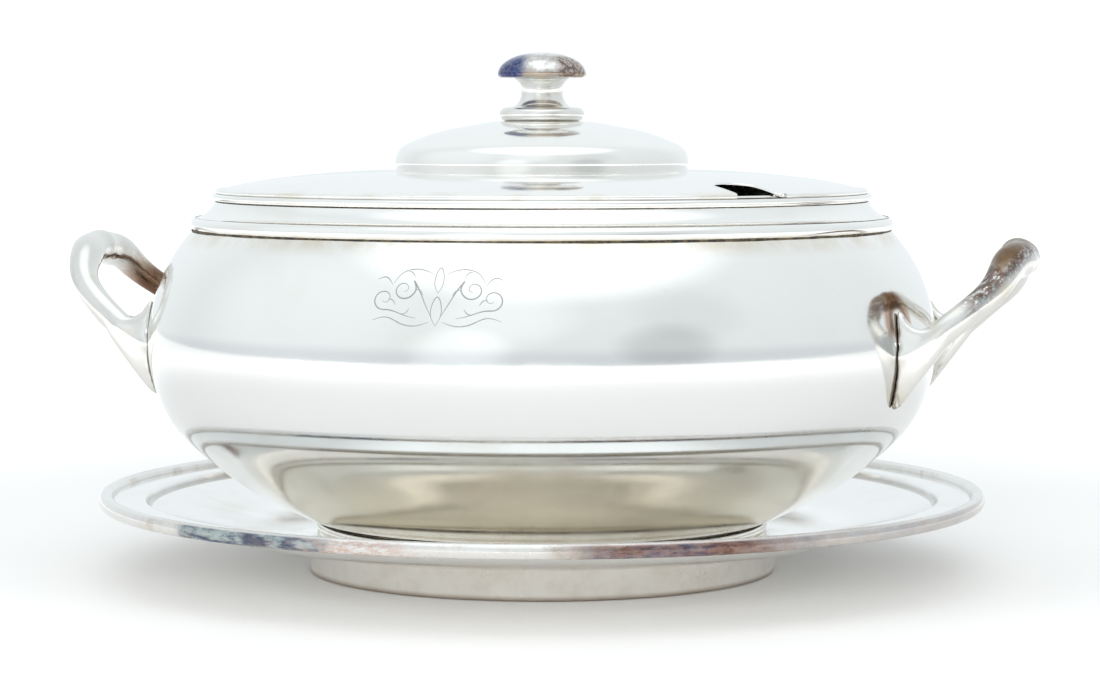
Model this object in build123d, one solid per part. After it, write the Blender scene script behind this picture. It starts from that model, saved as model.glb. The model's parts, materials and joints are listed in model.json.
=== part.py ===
# Silver-plated soup tureen: a lidded two-handled bowl standing in a dished undertray.
# Everything is in millimetres. The turning axis is Z, the table is z = 0, the two
# handles lie along +X and -X and the front of the piece is -Y.
import os
from math import atan2, cos, hypot, sin

from build123d import *

# ---- overall sizes -------------------------------------------------------------
TRAY_R = 165.0          # outer radius of the undertray
TRAY_H = 30.6           # top of the tray's border above the table
BOWL_R = 146.4          # widest radius of the bowl
FOOT_TOP = 13.6         # height of the tray's foot ring
LID_R = 121.2           # outer radius of the lid
HANDLE_OUT = 30.1       # how far a handle's tip stands out past the widest line of the bowl
HANDLE_TIP_Z = 118.9    # height of the centre of a handle at its tip

# ---- sheet and clearances ------------------------------------------------------
TRAY_SHEET = 1.4
BOWL_SHEET = 1.3
LID_SHEET = 1.2
GAP = 0.6               # lid bezel to collar, all round
STUD_GAP = 0.3          # finial stud to the hole in the lid

# ---- undertray -----------------------------------------------------------------
WELL_Z = FOOT_TOP + TRAY_SHEET      # top face of the flat well floor
WELL_R = 98.0                       # radius of the flat floor
STEP_R = TRAY_R - 19.0              # foot of the small step round the well
BRIM_R = TRAY_R - 16.7              # head of that step, start of the brim
BRIM_Z = TRAY_H - 2.4               # top face of the brim
BORDER_W = 5.3                      # width of the applied border moulding
BORDER_H = 5.1                      # height of the applied border moulding
TRAY_FOOT_R = 87.0

# ---- bowl ----------------------------------------------------------------------
BASE_Z = WELL_Z + 3.6               # underside of the bowl
BASE_R = 82.0                       # where the wall leaves the flat base
FOOT_R = BASE_R - 2.0               # radius of the bowl's own foot ring
NECK_Z = BASE_Z + 108.6
BELLY_Z = BASE_Z + 62.4             # height of the widest point

# ---- collar --------------------------------------------------------------------
COLLAR_H = 13.3                     # collar height above the bowl wall
RIM_Z = NECK_Z + COLLAR_H           # face the lid rests on
LID_LEDGE = 1.3                     # width of the rim left showing outside the lid
LID_LAP = 2.7                       # how far the lid reaches over the edge of the mouth
COVE_W = 6.9                        # how far the cove draws in from the neck to the rim
RIM_R = LID_R + LID_LEDGE
MOUTH_R = LID_R - LID_LAP           # clear radius of the mouth
NECK_R = RIM_R + COVE_W             # top edge of the bowl wall

# ---- lid and finial ------------------------------------------------------------
EDGE_W = 2.3                        # radial width of the lid's edge wire
EDGE_H = 1.8
BEZEL_DROP = 7.5                    # how far the bezel hangs below the rim
DOME_R = 54.3
DOME_Z = RIM_Z + 8.6                # where the dome rises from the brim
CROWN_Z = RIM_Z + 26.7              # flat seat of the finial
NOTCH_W = 19.0
NOTCH_DEPTH = 21.0
NOTCH_ANGLE = -37.0                 # from +X towards the front
STUD_R = 3.0
KNOB_R = 16.5
KNOB_H = 25.5

# ---- handles -------------------------------------------------------------------
HANDLE_REACH = BOWL_R + HANDLE_OUT  # axis to the centre of a handle at its tip
FOOT_HALF_SPAN = 41.0               # half the distance between a handle's two feet
SPEAR_HALF_H = 16.4                 # half the height of the soldered foot
SPEAR_Z = BASE_Z + 64.7             # centre height of the soldered foot


def spin(*edges):
    """Revolve a closed outline drawn in the XZ plane about the Z axis."""
    return revolve(make_face(edges), Axis.Z)


def xz(points):
    return [(r, 0, z) for r, z in points]


def inward(points, t):
    """The same run of points moved t to the right of the direction of travel."""
    moved = []
    last = len(points) - 1
    for i, (r, z) in enumerate(points):
        r0, z0 = points[max(i - 1, 0)]
        r1, z1 = points[min(i + 1, last)]
        dr, dz = r1 - r0, z1 - z0
        n = hypot(dr, dz)
        moved.append((r + t * dz / n, z - t * dr / n))
    return moved


def keep(part, name):
    part.label = name
    export_step(part, f"parts/{name}.step")
    print(name, "volume", round(part.volume), "mm3")
    return part


# ---- undertray -----------------------------------------------------------------
def make_tray_plate():
    t = TRAY_SHEET
    lip_z = BRIM_Z - 3.2
    edge_r = TRAY_R - 2.0
    dish = [(WELL_R, WELL_Z), (WELL_R + 16, WELL_Z + 1.1), (WELL_R + 32, WELL_Z + 4.8),
            (STEP_R, lip_z)]
    under = inward(dish, t)
    under[0] = (WELL_R, WELL_Z - t)
    top = Spline(*xz(dish), tangents=[(1, 0, 0), (1, 0, 0.38)])
    bottom = Spline(*xz(under), tangents=[(1, 0, 0), (1, 0, 0.38)])
    outline = [
        Line((0, 0, WELL_Z), (WELL_R, 0, WELL_Z)), top,
        Polyline(*xz([dish[-1], (BRIM_R, BRIM_Z), (edge_r, BRIM_Z), (edge_r, BRIM_Z - t),
                      (BRIM_R + 0.9, BRIM_Z - t), under[-1]])),
        bottom,
        Polyline(*xz([under[0], (0, WELL_Z - t), (0, WELL_Z)])),
    ]
    return spin(*outline)


def make_tray_border():
    """A cast half-round moulding with an inner fillet, seated over the tray's edge."""
    r, top, low = TRAY_R, TRAY_H, TRAY_H - BORDER_H
    inner = r - BORDER_W
    edge_r = r - 2.0
    outline = [
        Line((inner, 0, BRIM_Z), (inner, 0, BRIM_Z + 0.5)),
        ThreePointArc((inner, 0, BRIM_Z + 0.5), (inner + 0.9, 0, top - 0.9),
                      (inner + 2.0, 0, top - 0.2)),
        ThreePointArc((inner + 2.0, 0, top - 0.2), (r - 1.9, 0, top), (r - 0.6, 0, top - 0.8)),
        ThreePointArc((r - 0.6, 0, top - 0.8), (r, 0, (top + low) / 2), (r - 0.7, 0, low + 0.3)),
        Polyline((r - 0.7, 0, low + 0.3), (r - 1.1, 0, low), (edge_r, 0, low),
                 (edge_r, 0, BRIM_Z), (inner, 0, BRIM_Z)),
    ]
    return spin(*outline)


def make_tray_foot_ring():
    r, h = TRAY_FOOT_R, FOOT_TOP
    groove = h - 1.8
    outline = [
        Polyline(*xz([(r - 2.4, h), (r - 2.4, 0), (r - 0.5, 0), (r, 0.5), (r, 2.0)])),
        ThreePointArc((r, 0, 2.0), (r + 0.5, 0, h * 0.5), (r + 1.4, 0, groove - 0.5)),
        Polyline(*xz([(r + 1.4, groove - 0.5), (r + 0.8, groove), (r + 0.9, groove + 0.4)])),
        ThreePointArc((r + 0.9, 0, groove + 0.4), (r + 1.6, 0, h - 0.6), (r + 3.4, 0, h)),
        Line((r + 3.4, 0, h), (r - 2.4, 0, h)),
    ]
    return spin(*outline)


# ---- bowl ----------------------------------------------------------------------
def bowl_profile():
    """Outside of the bowl wall from the base up to the neck."""
    s = BOWL_R / 146.4
    low = BELLY_Z - BASE_Z
    high = NECK_Z - BELLY_Z
    return [
        (BASE_R, BASE_Z),
        (93.5 * s, BASE_Z + 0.073 * low),
        (103.0 * s, BASE_Z + 0.148 * low),
        (112.3 * s, BASE_Z + 0.235 * low),
        (126.0 * s, BASE_Z + 0.408 * low),
        (136.8 * s, BASE_Z + 0.58 * low),
        (143.2 * s, BASE_Z + 0.77 * low),
        (BOWL_R, BELLY_Z),
        (145.0 * s, BELLY_Z + 0.38 * high),
        (140.6 * s, BELLY_Z + 0.65 * high),
        (NECK_R, NECK_Z),
    ]


def bowl_edge(points):
    return Spline(*xz(points), tangents=[(1, 0, 0.18), (-1, 0, 1.0)])


def bowl_body(r_floor=0.0):
    """The bowl as a solid, for cutting the parts that are soldered to it."""
    pts = bowl_profile()
    return spin(bowl_edge(pts),
                Polyline(*xz([pts[-1], (r_floor, NECK_Z), (r_floor, BASE_Z), pts[0]])))


def make_bowl_shell():
    t = BOWL_SHEET
    outer = bowl_profile()
    inner = inward(outer, -t)
    inner[0] = (BASE_R, BASE_Z + t)
    inner[-1] = (NECK_R - 1.25 * t, NECK_Z)
    return spin(
        bowl_edge(outer), Line(*xz([outer[-1], inner[-1]])), bowl_edge(inner),
        Polyline(*xz([inner[0], (0, BASE_Z + t), (0, BASE_Z), outer[0]])))


def make_bowl_foot_ring():
    r, low, top = FOOT_R, WELL_Z, BASE_Z
    return spin(
        Polyline(*xz([(r - 2.6, top), (r - 2.6, low), (r - 0.5, low)])),
        ThreePointArc((r - 0.5, 0, low), (r + 0.2, 0, (low + top) / 2 - 0.4),
                      (r - 0.7, 0, top - 1.1)),
        ThreePointArc((r - 0.7, 0, top - 1.1), (r - 0.6, 0, top - 0.5), (r + 0.3, 0, top)),
        Line((r + 0.3, 0, top), (r - 2.6, 0, top)))


def make_rim_collar():
    """Half-round band, wide cove and a top bead, as one applied moulding."""
    low, top = NECK_Z, RIM_Z
    band = NECK_R + 1.0
    shelf = low + 4.6
    bead = top - 2.9
    outline = [
        Line((NECK_R + 0.3, 0, low), (NECK_R + 0.5, 0, low + 0.4)),
        ThreePointArc((NECK_R + 0.5, 0, low + 0.4), (band, 0, low + 2.3),
                      (NECK_R + 0.1, 0, shelf - 0.3)),
        Line((NECK_R + 0.1, 0, shelf - 0.3), (NECK_R - 1.4, 0, shelf)),
        ThreePointArc((NECK_R - 1.4, 0, shelf), (RIM_R + 1.4, 0, shelf + 2.6),
                      (RIM_R - 1.2, 0, bead)),
        ThreePointArc((RIM_R - 1.2, 0, bead), (RIM_R, 0, (bead + top) / 2 - 0.1),
                      (RIM_R - 0.7, 0, top)),
        Polyline(*xz([(RIM_R - 0.7, top), (MOUTH_R, top), (MOUTH_R, bead - 0.6)])),
        ThreePointArc((MOUTH_R, 0, bead - 0.6), (MOUTH_R + 3.7, 0, shelf + 0.9),
                      (NECK_R - 2.0, 0, low)),
        Line((NECK_R - 2.0, 0, low), (NECK_R + 0.3, 0, low)),
    ]
    return spin(*outline)


# ---- handles -------------------------------------------------------------------
def handle_stations():
    """Centre, half height and half width of the limb, from inside the bowl to the tip."""
    wall = (BOWL_R ** 2 - FOOT_HALF_SPAN ** 2) ** 0.5
    run = HANDLE_REACH - wall
    rise = HANDLE_TIP_Z - SPEAR_Z
    shape = [
        # outward, sideways, upward as shares; half height, half width
        (-0.17, 1.0, -0.02, 5.2, 4.4),
        (0.08, 1.0, 0.07, 5.2, 4.4),
        (0.27, 1.0, 0.18, 5.1, 4.4),
        (0.46, 0.975, 0.335, 5.0, 4.4),
        (0.63, 0.90, 0.48, 4.9, 4.5),
        (0.80, 0.77, 0.63, 5.1, 4.9),
        (0.91, 0.60, 0.79, 5.7, 5.6),
        (0.98, 0.36, 0.94, 6.5, 6.4),
        (1.0, 0.0, 1.0, 6.8, 6.7),
    ]
    return [(wall + u * run, v * FOOT_HALF_SPAN, SPEAR_Z + w * rise, a, b)
            for u, v, w, a, b in shape]


def make_spear():
    """The leaf-shaped foot that spreads a limb up and down the bowl, at y = -span."""
    wall = (BOWL_R ** 2 - FOOT_HALF_SPAN ** 2) ** 0.5
    tall = SPEAR_HALF_H / 16.8
    side = [(-9, -28), (0, -16.5), (15, 4.0), (17, 10), (12, 12.6)]
    top = [(12, 12.6), (5, 11.8), (1.2, 15.5)]
    side = [(wall + x, 0, SPEAR_Z + z * tall) for x, z in side]
    top = [(wall + x, 0, SPEAR_Z + z * tall) for x, z in top]
    close = [(wall + 1.2, 0, SPEAR_Z + 15.5 * tall), (wall - 0.6, 0, SPEAR_Z + 20 * tall),
             (wall - 9, 0, SPEAR_Z + 20 * tall), side[0]]
    web = make_face([Polyline(*side), ThreePointArc(*top), Polyline(*close)])
    web = Pos(0, -FOOT_HALF_SPAN, 0) * extrude(web, 6, both=True)
    leaf = Plane(origin=(wall - 12, -FOOT_HALF_SPAN, SPEAR_Z), x_dir=(0, 0, 1),
                 z_dir=(1, 0, 0)) * Ellipse(SPEAR_HALF_H * 1.08, 4.2)
    return web & extrude(leaf, 40)


def make_handle():
    """One loop handle on the +X side: half a loop, cut at its tip and mirrored,
    with its feet cut to the curve of the bowl."""
    half = handle_stations()
    loop = [(x, -y, z, a, b) for x, y, z, a, b in half]
    loop += [(x, y, z, a, b) for x, y, z, a, b in half[-2:-4:-1]]
    lean = atan2(HANDLE_TIP_Z - SPEAR_Z, HANDLE_REACH - BOWL_R)
    sections = []
    for i, (x, y, z, a, b) in enumerate(loop[:-1]):
        p, q = loop[max(i - 1, 0)], loop[i + 1]
        run = Vector(q[0] - p[0], q[1] - p[1], q[2] - p[2]).normalized()
        tilt = lean * min(1.0, i / 4)
        up = Vector(-sin(tilt), 0, cos(tilt))
        side = (up - run * up.dot(run)).normalized()
        sections.append(Plane(origin=(x, y, z), x_dir=side, z_dir=run) * Ellipse(a, b))
    near_side = Pos(HANDLE_REACH, -100, HANDLE_TIP_Z) * Box(200, 200, 300)
    limb = (loft(sections) & near_side) + make_spear() - bowl_body()
    return limb + mirror(limb, about=Plane.XZ)


# ---- lid -----------------------------------------------------------------------
def brim_profile():
    run = LID_R - EDGE_W - DOME_R
    rise = DOME_Z - (RIM_Z + EDGE_H - 0.2)
    steps = [(0.0, 0.0), (0.11, 0.25), (0.3, 0.54), (0.53, 0.77), (0.76, 0.91), (1.0, 1.0)]
    return [(LID_R - EDGE_W - u * run, RIM_Z + EDGE_H - 0.2 + v * rise) for u, v in steps]


def dome_profile():
    rise = CROWN_Z - DOME_Z
    steps = [(1.0, 0.0), (1.006, 0.13), (1.0, 0.27), (0.98, 0.41), (0.895, 0.572),
             (0.755, 0.737), (0.6, 0.85), (0.44, 0.935), (0.27, 1.0)]
    return [(DOME_R * u, DOME_Z + v * rise) for u, v in steps]


def notch_cutter(extra=0.0):
    """The U-shaped way through the lid for the handle of a ladle."""
    half = NOTCH_W / 2 + extra
    inner = LID_R - NOTCH_DEPTH - extra
    depth = 60
    with BuildSketch(Plane.XY.offset(RIM_Z - 30)) as outline:
        with Locations((inner + half * 0.8, 0)):
            Ellipse(half * 0.8, half)
        with Locations((inner + half * 0.8 + 25, 0)):
            Rectangle(50, half * 2)
    return extrude(outline.sketch, depth).rotate(Axis.Z, NOTCH_ANGLE)


def make_lid_shell():
    t = LID_SHEET
    brim, dome = brim_profile(), dome_profile()
    brim_in, dome_in = inward(brim, -t), inward(dome, -t)
    brim_in[0] = (brim[0][0], brim[0][1] - t)
    dome_in[-1] = (dome[-1][0], CROWN_Z - t)
    corner = (dome_in[0][0], brim_in[-1][1])
    hole = STUD_R + STUD_GAP
    out_tan = [(-1, 0, 0.3), (-1, 0, 0.06)]
    dome_tan = [(0.05, 0, 1), (-1, 0, 0.02)]
    shell = spin(
        Spline(*xz(brim), tangents=out_tan), Spline(*xz(dome), tangents=dome_tan),
        Polyline(*xz([dome[-1], (hole, CROWN_Z), (hole, CROWN_Z - t), dome_in[-1]])),
        Spline(*xz(dome_in[1:]), tangents=dome_tan),
        Polyline(*xz([dome_in[1], corner, brim_in[-1]])),
        Spline(*xz(brim_in), tangents=out_tan),
        Line(*xz([brim_in[0], brim[0]])))
    return shell - notch_cutter()


def make_lid_edge_wire():
    r, low = LID_R, RIM_Z
    inner = r - EDGE_W
    ring = spin(
        Polyline(*xz([(inner, low + EDGE_H), (inner, low), (r - 0.5, low)])),
        ThreePointArc((r - 0.5, 0, low), (r, 0, low + EDGE_H * 0.45), (r - 0.9, 0, low + EDGE_H)),
        Line((r - 0.9, 0, low + EDGE_H), (inner, 0, low + EDGE_H)))
    return ring - notch_cutter()


def lid_filling():
    """Everything the lid shell covers or fills, for trimming the bezel to its underside."""
    brim = brim_profile()
    brim_in = inward(brim, -LID_SHEET)
    brim_in[0] = (brim[0][0], brim[0][1] - LID_SHEET)
    top = RIM_Z + 40
    return spin(Spline(*xz(brim_in), tangents=[(-1, 0, 0.3), (-1, 0, 0.06)]),
                Polyline(*xz([brim_in[-1], (brim_in[-1][0], top), (brim_in[0][0], top),
                              brim_in[0]])))


def make_lid_bezel():
    outer = MOUTH_R - GAP
    inner = outer - 1.2
    low = RIM_Z - BEZEL_DROP
    ring = spin(Polyline(*xz([(inner, low + 0.5), (inner + 0.5, low), (outer - 0.8, low),
                              (outer - 0.3, low + 0.6), (outer, low + 1.6),
                              (outer, RIM_Z + 6), (inner, RIM_Z + 6), (inner, low + 0.5)])))
    return ring - lid_filling() - notch_cutter()


# ---- finial --------------------------------------------------------------------
def make_finial_knob():
    """Turned bead, waist and mushroom cap, with a blind hole for the stud."""
    z0 = CROWN_Z
    k = KNOB_H / 25.5
    r = KNOB_R / 16.5
    bore = STUD_R
    depth = 12 * k
    return spin(
        Polyline(*xz([(bore, z0), (11.0 * r, z0), (11.4 * r, z0 + 0.4 * k),
                      (13.4 * r, z0 + 0.4 * k)])),
        ThreePointArc((13.4 * r, 0, z0 + 0.4 * k), (15.7 * r, 0, z0 + 2.6 * k),
                      (13.4 * r, 0, z0 + 4.8 * k)),
        Line((13.4 * r, 0, z0 + 4.8 * k), (10.8 * r, 0, z0 + 5.1 * k)),
        Spline((10.8 * r, 0, z0 + 5.1 * k), (8.5 * r, 0, z0 + 7.4 * k),
               (7.7 * r, 0, z0 + 10.8 * k), (8.7 * r, 0, z0 + 14.0 * k),
               (11.6 * r, 0, z0 + 16.3 * k),
               tangents=[(-1, 0, 0.35), (1, 0, 0.3)]),
        ThreePointArc((11.6 * r, 0, z0 + 16.3 * k), (15.4 * r, 0, z0 + 16.1 * k),
                      (16.5 * r, 0, z0 + 17.7 * k)),
        Spline((16.5 * r, 0, z0 + 17.7 * k), (15.8 * r, 0, z0 + 20.1 * k),
               (12.4 * r, 0, z0 + 22.9 * k), (6.8 * r, 0, z0 + 24.9 * k), (0, 0, z0 + 25.5 * k),
               tangents=[(0.05, 0, 1), (-1, 0, 0)]),
        Polyline(*xz([(0, z0 + 25.5 * k), (0, z0 + depth), (bore, z0 + depth), (bore, z0)])))


def make_finial_stud():
    low = CROWN_Z - LID_SHEET - 8.0
    top = CROWN_Z + 12 * KNOB_H / 25.5
    return Pos(0, 0, low) * Cylinder(STUD_R, top - low,
                                     align=(Align.CENTER, Align.CENTER, Align.MIN))


def make_finial_washer():
    top = CROWN_Z - LID_SHEET
    return spin(Polyline(*xz([(STUD_R, top), (STUD_R, top - 1.2), (7.2, top - 1.2),
                              (7.5, top - 0.9), (7.5, top), (STUD_R, top)])))


def make_finial_nut():
    """A square nut, as on hand-fitted hollow ware."""
    top = CROWN_Z - LID_SHEET - 1.2
    blank = Pos(0, 0, top - 4.0) * Box(10, 10, 4.0, align=(Align.CENTER, Align.CENTER, Align.MIN))
    blank = chamfer(blank.edges().filter_by(Axis.Z), 1.0)
    return blank - Pos(0, 0, top - 5) * Cylinder(STUD_R, 6,
                                                 align=(Align.CENTER, Align.CENTER, Align.MIN))


os.makedirs("parts", exist_ok=True)

keep(make_tray_plate(), "tray_plate")
keep(make_tray_border(), "tray_border")
keep(make_tray_foot_ring(), "tray_foot_ring")
keep(make_bowl_shell(), "bowl_shell")
keep(make_bowl_foot_ring(), "bowl_foot_ring")
keep(make_rim_collar(), "rim_collar")
right = make_handle()
keep(right, "handle_right")
keep(right.rotate(Axis.Z, 180), "handle_left")
keep(make_finial_knob(), "finial_knob")
keep(make_finial_stud(), "finial_stud")
keep(make_finial_washer(), "finial_washer")
keep(make_finial_nut(), "finial_nut")
keep(make_lid_shell(), "lid_shell")
keep(make_lid_edge_wire(), "lid_edge_wire")
keep(make_lid_bezel(), "lid_bezel")
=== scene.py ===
# %% [markdown]
# # A silver-plated soup tureen on its undertray
# The object is hotel silver: a spun, lidded bowl with two cast loop handles, standing
# loose in a dished round tray. Almost everything on it was made on a lathe, so most of
# this lesson is about turning outlines into smooth rings, and about the one thing that
# makes polished metal look real: clean curvature with something plain to reflect.

# %% Load the engineering model as a fixed frame
import json
from math import atan2, cos, hypot, pi, radians, sin, sqrt

import bmesh
import bpy
import numpy as np
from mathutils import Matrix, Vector


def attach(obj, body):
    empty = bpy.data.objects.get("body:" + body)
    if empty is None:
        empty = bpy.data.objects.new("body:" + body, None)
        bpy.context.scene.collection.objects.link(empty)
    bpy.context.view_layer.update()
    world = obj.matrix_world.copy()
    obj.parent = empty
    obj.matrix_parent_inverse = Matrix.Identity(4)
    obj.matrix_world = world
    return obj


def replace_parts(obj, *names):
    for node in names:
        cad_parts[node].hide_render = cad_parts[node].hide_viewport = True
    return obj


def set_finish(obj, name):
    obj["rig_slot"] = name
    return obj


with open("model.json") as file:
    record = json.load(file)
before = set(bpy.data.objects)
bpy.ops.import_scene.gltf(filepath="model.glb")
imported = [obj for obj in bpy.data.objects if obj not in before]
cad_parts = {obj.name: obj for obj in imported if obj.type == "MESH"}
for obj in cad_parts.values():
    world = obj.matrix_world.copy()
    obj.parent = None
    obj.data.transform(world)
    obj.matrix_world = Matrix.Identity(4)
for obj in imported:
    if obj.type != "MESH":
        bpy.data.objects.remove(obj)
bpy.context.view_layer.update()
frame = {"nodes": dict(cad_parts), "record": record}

MM = 0.001
scene = bpy.context.scene

# %% [markdown]
# ## Outlines
# A turned piece is its section, spun. The section is a list of (radius, height) points
# in millimetres. A mirror finish shows the second derivative of a curve as kinks in the
# reflections, so long walls use a true cubic spline through a few points instead of
# many short straight runs. Mouldings use arcs through three points.

# %% Curves for sections


def smooth(points, count, start=None, end=None):
    """A cubic spline through the points, with optional directions at its two ends."""
    p = np.array(points, float)
    t = np.concatenate([[0], np.cumsum(np.hypot(*np.diff(p, axis=0).T))])
    n, h = len(p), np.diff(t)
    a, rhs = np.zeros((n, n)), np.zeros((n, 2))
    for i in range(1, n - 1):
        a[i, i - 1], a[i, i], a[i, i + 1] = h[i - 1], 2 * (h[i - 1] + h[i]), h[i]
        rhs[i] = 6 * ((p[i + 1] - p[i]) / h[i] - (p[i] - p[i - 1]) / h[i - 1])
    for row, step, way, sign in ((0, h[0], start, 1), (n - 1, h[-1], end, -1)):
        inner = 1 if row == 0 else n - 2
        a[row, row] = 1
        if way is not None:
            way = np.array(way, float) / np.hypot(*way)
            a[row, row], a[row, inner] = 2 * step, step
            rhs[row] = 6 * sign * (sign * (p[inner] - p[row]) / step - way)
    m = np.linalg.solve(a, rhs)
    out = []
    for v in np.linspace(0, t[-1], count):
        i = min(int(np.searchsorted(t, v, "right")) - 1, n - 2)
        u, w = (v - t[i]) / h[i], (t[i + 1] - v) / h[i]
        q = w * p[i] + u * p[i + 1] + h[i] ** 2 / 6 * ((w ** 3 - w) * m[i] + (u ** 3 - u) * m[i + 1])
        out.append(tuple(q))
    return out


def arc(a, b, c, count=9):
    """The circle's arc from a through b to c."""
    (ax, ay), (bx, by), (cx, cy) = a, b, c
    d = 2 * (ax * (by - cy) + bx * (cy - ay) + cx * (ay - by))
    ux = ((ax ** 2 + ay ** 2) * (by - cy) + (bx ** 2 + by ** 2) * (cy - ay)
          + (cx ** 2 + cy ** 2) * (ay - by)) / d
    uy = ((ax ** 2 + ay ** 2) * (cx - bx) + (bx ** 2 + by ** 2) * (ax - cx)
          + (cx ** 2 + cy ** 2) * (bx - ax)) / d
    r = hypot(ax - ux, ay - uy)
    t0, t1, t2 = (atan2(y - uy, x - ux) for x, y in (a, b, c))
    turn = (t2 - t0) % (2 * pi)
    if (t1 - t0) % (2 * pi) > turn:
        turn -= 2 * pi
    return [(ux + r * cos(t0 + turn * k / (count - 1)), uy + r * sin(t0 + turn * k / (count - 1)))
            for k in range(count)]


def shifted(points, gap):
    """The same run moved sideways by gap, for the other face of a sheet."""
    p = np.array(points, float)
    way = np.gradient(p, axis=0)
    way /= np.hypot(*way.T)[:, None]
    return [tuple(q) for q in p + gap * np.stack([way[:, 1], -way[:, 0]], 1)]


print("a quarter circle through three points:", [round(v, 3) for v in arc((1, 0), (0.6, 0.8), (0, 1), 3)[1]])


# %% [markdown]
# ## The lathe
# Blender has a Screw modifier for this, but making the rings directly lets the mesh be
# welded on the axis at once. The sharp edges are then marked by angle, so
# that beads stay crisp while the walls shade as one surface.

# %% Spin a section into a mesh
PIECES = []


def finished(name, mesh, body, slot, sharp=38):
    """Shade the mesh, put it in the scene and make it ride on its body."""
    mesh.shade_smooth()
    mesh.set_sharp_from_angle(angle=radians(sharp))
    obj = bpy.data.objects.new(name, mesh)
    scene.collection.objects.link(obj)
    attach(obj, body)
    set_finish(obj, slot)
    PIECES.append(obj)
    print(name, len(mesh.polygons), "faces")
    return obj


def mesh_from(name, verts, faces, weld=1e-7):
    """A welded mesh with its faces turned outwards. Lengths come in millimetres."""
    bm = bmesh.new()
    made = [bm.verts.new([c * MM for c in v]) for v in verts]
    for face in faces:
        ids = list(dict.fromkeys(face))
        if len(ids) > 2:
            bm.faces.new([made[i] for i in ids])
    bmesh.ops.remove_doubles(bm, verts=bm.verts, dist=weld)
    bmesh.ops.dissolve_degenerate(bm, edges=bm.edges, dist=weld)
    bmesh.ops.recalc_face_normals(bm, faces=bm.faces)
    mesh = bpy.data.meshes.new(name)
    bm.to_mesh(mesh)
    bm.free()
    return mesh


def lathe(name, section, body, slot, steps=256, sharp=38):
    """A closed section of (radius, height) points, spun right round the axis."""
    pts = [p for i, p in enumerate(section) if hypot(p[0] - section[i - 1][0],
                                                     p[1] - section[i - 1][1]) > 1e-4]
    n = len(pts)
    verts = [(r * cos(2 * pi * k / steps), r * sin(2 * pi * k / steps), z)
             for k in range(steps) for r, z in pts]
    faces = [(k * n + i, ((k + 1) % steps) * n + i, ((k + 1) % steps) * n + (i + 1) % n,
              k * n + (i + 1) % n) for k in range(steps) for i in range(n)]
    return finished(name, mesh_from(name, verts, faces), body, slot, sharp)


# %% [markdown]
# ## The undertray
# One spun plate, a half-round moulding soldered round its edge and a plain foot ring.
# The plate is dished like a soup plate: a flat floor for the bowl to stand on, a slow
# rise, one small step, and then the narrow flat brim.

# %% Undertray
WELL_Z, UNDER_Z, BRIM_Z, TRAY_SHEET = 15, 13.6, 28.2, 1.4
plate_dish = smooth([(98, 15), (114, 16.1), (130, 19.8), (145.6, 24.7)], 40, (1, 0), (1, 0.38))
plate_step = arc((145.6, 24.7), (146.5, 25.3), (147.0, 26.2), 5) + \
    arc((147.4, 27.2), (147.9, 27.9), (148.8, 28.2), 6)
plate_under = [(146.6, 23.5), (149.2, BRIM_Z - TRAY_SHEET), (163, BRIM_Z - TRAY_SHEET), (163, BRIM_Z)]
plate = [(0, WELL_Z), (60, WELL_Z)] + plate_dish + plate_step + [(155, BRIM_Z)] + plate_under[::-1] + \
    shifted(plate_dish, TRAY_SHEET)[::-1] + [(60, UNDER_Z), (0, UNDER_Z)]
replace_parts(lathe("tray_dish", plate, "undertray", "tray_silver"), "tray_plate")

border = arc((159.7, 28.2), (160.1, 29.6), (161.7, 30.35), 8) + \
    arc((161.7, 30.35), (163.1, 30.6), (164.3, 29.9), 8) + \
    arc((164.3, 29.9), (165.0, 28.0), (164.3, 25.8), 10) + \
    [(163.9, 25.5), (163.05, 25.5), (163.05, 28.2)]
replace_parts(lathe("tray_edge_moulding", border, "undertray", "border_silver"), "tray_border")

foot = [(84.6, UNDER_Z), (84.6, 0.2), (84.9, 0), (86.4, 0)] + arc((86.4, 0), (86.85, 0.2), (87, 0.6), 5) + \
    [(87, 2)] + arc((87, 2), (87.5, 6.8), (88.4, 11.2), 12) + [(87.8, 11.7), (87.85, 12.1)] + \
    arc((87.9, 12.2), (88.6, 13.1), (90.4, UNDER_Z), 8)
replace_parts(lathe("tray_foot", foot, "undertray", "foot_silver"), "tray_foot_ring")

# %% [markdown]
# ## The bowl
# The wall leaves its flat base almost level, swells to the widest line a little below
# the middle, and draws in to the neck. Inside and outside are two copies of the same
# spline, a sheet's thickness apart, so that the bowl is a real hollow vessel when its
# lid is lifted.

# %% Bowl wall
BELLY_R, BELLY_Z, NECK_R, NECK_Z = 146.4, 81.0, 129.4, 127.2
BASE_R, BASE_Z, BOWL_SHEET = 82, 18.6, 1.3
wall = [(BASE_R, BASE_Z), (93.5, 23.15), (103, 27.84), (112.3, 33.26), (126, 44.06), (136.8, 54.79),
        (143.2, 66.65), (BELLY_R, BELLY_Z), (145, 98.56), (140.6, 111.03), (NECK_R, NECK_Z)]
outside = smooth(wall, 110, (1, 0.18), (-1, 1))
inside = shifted(outside, -BOWL_SHEET)
FLOOR_Z = BASE_Z + BOWL_SHEET
inside[0], inside[-1] = (BASE_R, FLOOR_Z), (NECK_R - 1.6, NECK_Z)
shell = [(0, BASE_Z), (50, BASE_Z)] + outside + inside[::-1] + [(50, FLOOR_Z), (0, FLOOR_Z)]
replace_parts(lathe("bowl", shell, "tureen", "bowl_silver", steps=320), "bowl_shell")


def wall_radius(z):
    """Outside radius of the bowl at a height, both in millimetres."""
    return float(np.interp(z, [p[1] for p in outside], [p[0] for p in outside]))


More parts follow.
